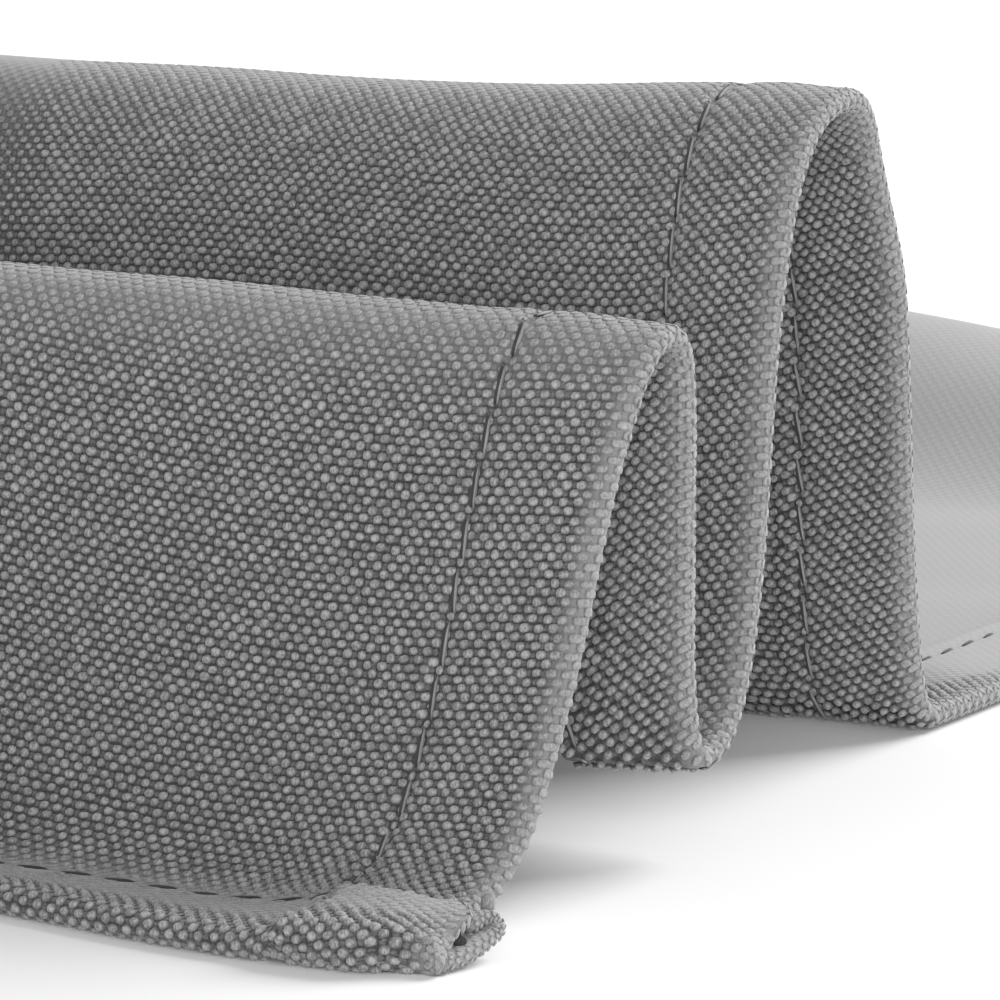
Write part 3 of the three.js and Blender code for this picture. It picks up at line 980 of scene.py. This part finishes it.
# A dark piece of painted shade in the opening between the hem's layers, and the thread's cut end above
# it: middle in the solid's millimetres, half sizes and finish
outward = np.array([0.499, -0.85, 0.173])  # the way that the corner's end faces
cornerMarks = {
    "hemOpeningShade": ((3.7, -10.93, 1.59), (0.46, 0.4, 0.12), shadeFinish),
    "threadEnd": ((3.3, -6.8, 3.1), (0.45, 0.7, 0.3), threadFinish),
}


def markPoints(place, size):
    # one darker crown that faces outward; in the hem's opening it is painted shade
    return {"place": (np.array([place]) + fromSolid) * mm, "lift": outward[None],
            "run": np.array([[0.1, 0, 1]]), "size": np.array([size]) * mm,
            "tone": np.array([-0.2]), "smoothSheen": np.array([0.6])}


marks = [setOnPoints(name, markPoints(place, size), finish, 12, 4, 0.4, 0, 0.14)
         for name, (place, size, finish) in cornerMarks.items()]

# Sewing

stitch = {
    "long": 1.6,  # half sizes of one visible stitch
    "wide": 0.11,
    "high": 0.14,
    "raised": 0.08,
    "slant": 0.2,  # each stitch runs a little across its line
    "shadeLong": 1.62,  # and of the dark piece of painted shade in the groove that it is pulled into
    "shadeWide": 0.2,
    "shadeHigh": 0.08,
    "shadeRaised": 0.05,
    "shadeShift": 0.17,
    "darkLong": 1.28,  # on the end hems and the tail the thread lies sunk, and a dark dash of painted shade stands for it
    "darkWide": 0.2,
}


def stitchLines():
    # distance from the side, from the end, face, whether it runs across, whether the thread shows
    pitch, front = cloth["stitchPitch"], wear["frontStitch"]
    width, length = cloth["width"], cloth["length"]
    down = np.arange(pitch * 0.9, length - 2, pitch)
    upright, flat = down[down < smoothSheen["tailStart"]], down[down >= smoothSheen["tailStart"]]
    over = np.arange(pitch * 0.8, width - 2, pitch)
    lines = []
    for face in (1.0, -1.0):
        for part, shows in ((upright, True), (flat, False)):
            lines.append((stitchAt(part), part, face, False, shows))
            lines.append((width - stitchAt(part), part, face, False, shows))
        lines.append((over, np.full(over.shape, front), face, True, False))
        lines.append((over, np.full(over.shape, length - front), face, True, False))
    return lines


def stitchPoints(shade):
    parts = {"place": [], "lift": [], "run": [], "size": [], "tone": [], "smoothSheen": []}
    draw = np.random.default_rng(8)
    for w, v, face, turned, shows in stitchLines():
        slant = draw.uniform(0.2, 1.0, (len(w), 1)) * stitch["slant"]
        if not shows and not shade:
            continue
        if shade and shows:
            w = w + stitch["shadeShift"] * np.where(w < cloth["width"] / 2, 1, -1)
        place, lift, run = skinAt(w, v, np.full(w.shape, face))
        side = np.cross(lift, run)
        if turned:
            run, side = side, -run
        size = [stitch["wide"], stitch["long"], stitch["high"]]
        if shade:
            size = [stitch["shadeWide"], stitch["shadeLong"], stitch["shadeHigh"]]
        # where the thread lies sunk, a dark dash of painted shade
        if not shows:
            size = [stitch["darkWide"], stitch["darkLong"], stitch["high"]]
        raised = stitch["shadeRaised" if shade else "raised"]
        parts["place"].append(place + lift * raised * mm)
        parts["lift"].append(lift)
        parts["run"].append(run + side * slant)
        parts["size"].append(np.tile(size, (len(w), 1)) * mm)
        parts["tone"].append(draw.uniform(0, 1, len(w)))
        parts["smoothSheen"].append(np.full(len(w), 0.5))
    return {key: np.concatenate(values) for key, values in parts.items()}


threads = setOnPoints("hemStitches", stitchPoints(False), threadFinish, 8, 3, 0.3, 0.05, 0.05, 4)
shades = setOnPoints("stitchGrooveShade", stitchPoints(True), shadeFinish, 8, 2, 0.3, 0.05, 0.05, 5)

# The surface it lies on, the light and the camera

studio = {"floorSize": 8.0, "floorColour": 0.8, "floorGlow": 0.06, "sky": 0.45, "behind": 20.0,
          "side": 9.5}
floorMesh = bpy.data.meshes.new("floor")
half = studio["floorSize"] / 2
floorMesh.from_pydata([(-half, -half, 0), (half, -half, 0), (half, half, 0), (-half, half, 0)],
                      [], [(0, 1, 2, 3)])
floor = addObject("floor", floorMesh)
floorFinish, board = newMaterial("paleSurface")
shader = board.node("ShaderNodeBsdfPrincipled", None,
                    {"Base Color": grey(studio["floorColour"]), "Roughness": 0.9,
                     "Specular IOR Level": 0.1, "Emission Color": grey(1),
                     "Emission Strength": studio["floorGlow"]})
board.node("ShaderNodeOutputMaterial", None, {"Surface": shader.outputs[0]})
floorMesh.materials.append(floorFinish)

world = bpy.data.worlds.new("studio")
world.use_nodes = True
world.node_tree.nodes["Background"].inputs["Color"].default_value = (1, 1, 1, 1)
world.node_tree.nodes["Background"].inputs["Strength"].default_value = studio["sky"]
bpy.context.scene.world = world


def softbox(name, place, target, size, power):
    lamp = bpy.data.lights.new(name, "AREA")
    lamp.size = size
    lamp.energy = power
    holder = addObject(name, lamp)
    holder.location = place
    holder.rotation_euler = (Vector(target) - Vector(place)).to_track_quat("-Z", "Y").to_euler()


softbox("behind", (0.5, 0.88, 0.75), (0, 0, 0), 0.75, studio["behind"])
softbox("side", (0.74, -0.9, 0.2), (0, 0, 0.02), 0.7, studio["side"])

# The camera stands where the photograph was taken from: to the right and a little above
view = {"azimuth": 30.409, "elevation": 9.934, "roll": -0.517, "lens": 254.55,
        "place": (0.33790, -0.48031, 0.10285)}


def makeCamera():
    a, e, g = (math.radians(view[key]) for key in ("azimuth", "elevation", "roll"))
    right = Vector((math.cos(a), math.sin(a), 0))
    back = Vector((math.sin(a) * math.cos(e), -math.cos(a) * math.cos(e), math.sin(e)))
    up = back.cross(right)
    right, up = right * math.cos(g) + up * math.sin(g), up * math.cos(g) - right * math.sin(g)
    camera = addObject("camera", bpy.data.cameras.new("camera"))
    camera.data.lens = view["lens"]
    camera.data.sensor_width = 36
    camera.data.clip_start = 0.01
    camera.data.clip_end = 50
    camera.matrix_world = Matrix((right, up, back)).transposed().to_4x4()
    camera.location = view["place"]
    bpy.context.scene.camera = camera


makeCamera()
bpy.context.scene.view_settings.view_transform = "Standard"

# What each piece is

extras = [*yarnPieces, *marks, hemCurl, curlYarns, threads, shades]
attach(tablecloth, "root")
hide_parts("cloth")
for piece in extras:
    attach(piece, "root")
